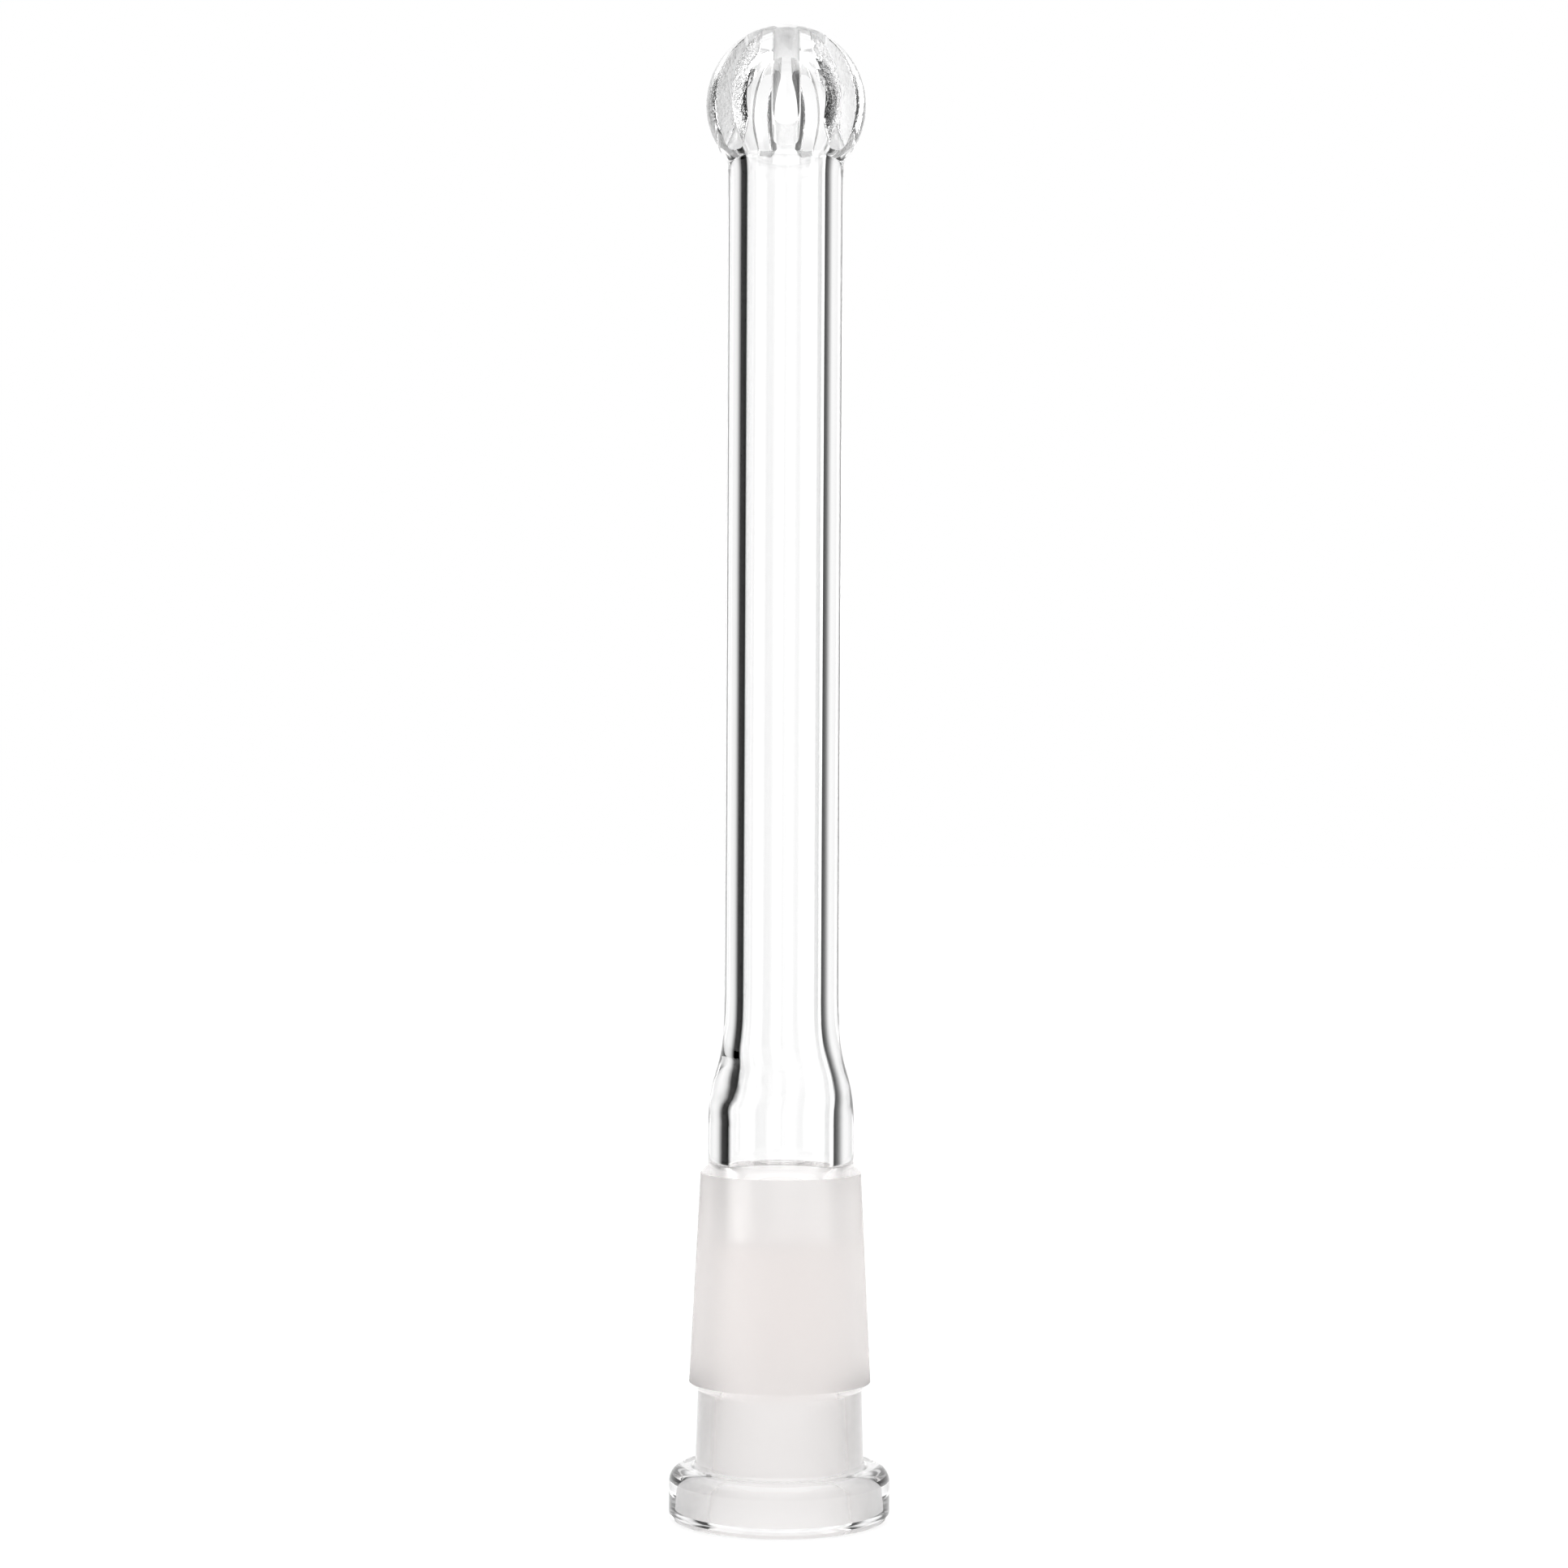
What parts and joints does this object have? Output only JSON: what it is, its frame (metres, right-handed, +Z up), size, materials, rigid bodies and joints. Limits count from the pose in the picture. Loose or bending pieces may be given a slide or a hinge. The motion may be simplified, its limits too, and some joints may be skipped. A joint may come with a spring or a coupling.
{
  "type": "gas diffuser stem",
  "caption": "Glass gas diffuser stem with a slotted bulb, a ground male cone and a flanged ground socket.",
  "frame": {"origin": "centre of the socket's flat mouth, on the surface that the glass stands on", "axes": "+Z up the axis of the glass, from the mouth to the bulb; -Y faces one of the slots"},
  "size_m": [0.0229, 0.0228, 0.155],
  "materials": {
    "clear_glass": "fire-polished borosilicate",
    "ground_glass": "fine ground, matt"
  },
  "bodies": {
    "root": {"slotted_bulb": "clear_glass", "stem_tube": "clear_glass", "weld_flare": "clear_glass", "joint_tail": "clear_glass", "ground_cone": "ground_glass", "socket_neck": "clear_glass", "socket_flange": "clear_glass"}
  },
  "joints": []
}
